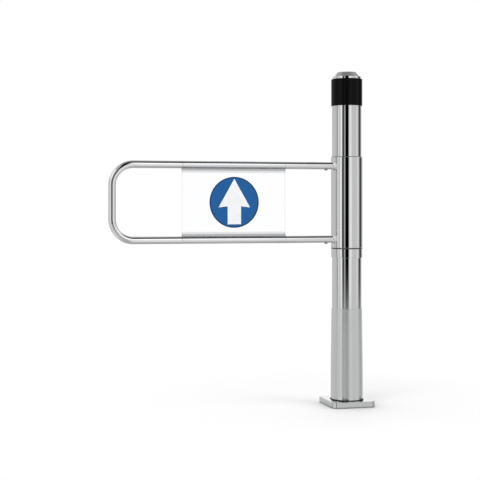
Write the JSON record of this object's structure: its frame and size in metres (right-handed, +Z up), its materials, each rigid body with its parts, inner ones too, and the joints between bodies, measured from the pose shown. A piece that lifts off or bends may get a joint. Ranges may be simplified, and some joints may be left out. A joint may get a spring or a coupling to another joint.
{
  "type": "pedestrian swing gate",
  "caption": "Floor-fixed round post with a turning sleeve that carries a U-shaped tube arm, a clear panel and a round arrow sign; opens one way and closes itself.",
  "frame": {"origin": "centre of the floor flange's bolt pattern on its underside, on the post's axis, at floor level", "axes": "+Z up the post; the arm points along -X at rest; the sign faces -Y and the gate opens towards +Y"},
  "size_m": [0.7927, 0.133, 1],
  "materials": {
    "chrome": "mirror-polished chromed steel",
    "steel": "machined and zinc-plated steel",
    "spring_steel": "oiled spring wire",
    "black_plastic": "glossy moulded black plastic",
    "slide_plastic": "black slide plastic",
    "rubber": "matt black rubber",
    "bronze": "sintered bronze",
    "clear_acrylic": "clear polished acrylic",
    "sign_blue": "glossy blue sign face",
    "sign_white": "glossy white film"
  },
  "bodies": {
    "post": {"base_flange": "steel", "base_cover": "chrome", "foot_seal": "rubber", "lower_casing": "chrome", "post_tube": "chrome", "thrust_collar": "chrome", "collar_screws": "steel", "thrust_washer": "slide_plastic", "shaft_plug": "steel", "centre_shaft": "steel", "shaft_lock_nut": "steel", "torsion_spring": "spring_steel", "stop_ring": "steel", "stop_buffers": "rubber", "stop_screws": "steel", "shaft_washer": "steel", "shaft_nut": "steel", "top_ring": "black_plastic", "top_cap": "chrome", "cap_screws": "steel"},
    "gate": {"hub_sleeve": "chrome", "lower_bush": "slide_plastic", "upper_bush": "slide_plastic", "rotor": "steel", "rotor_bushes": "bronze", "drive_screws": "steel", "arm_stubs": "steel", "arm_tube": "chrome", "arm_screws": "steel", "sign_panel": "clear_acrylic", "panel_screws": "steel", "sign_disc": "sign_blue", "sign_arrow": "sign_white"}
  },
  "joints": [
    {"name": "gate_swing", "type": "hinge", "parent": "post", "child": "gate", "pos_m": [0, 0, 0.609], "axis": [0, 0, 1], "range_deg": [-90, 0], "stiffness_Nm_per_rad": 3, "springref_deg": 11.46, "deforming": ["torsion_spring"]}
  ]
}
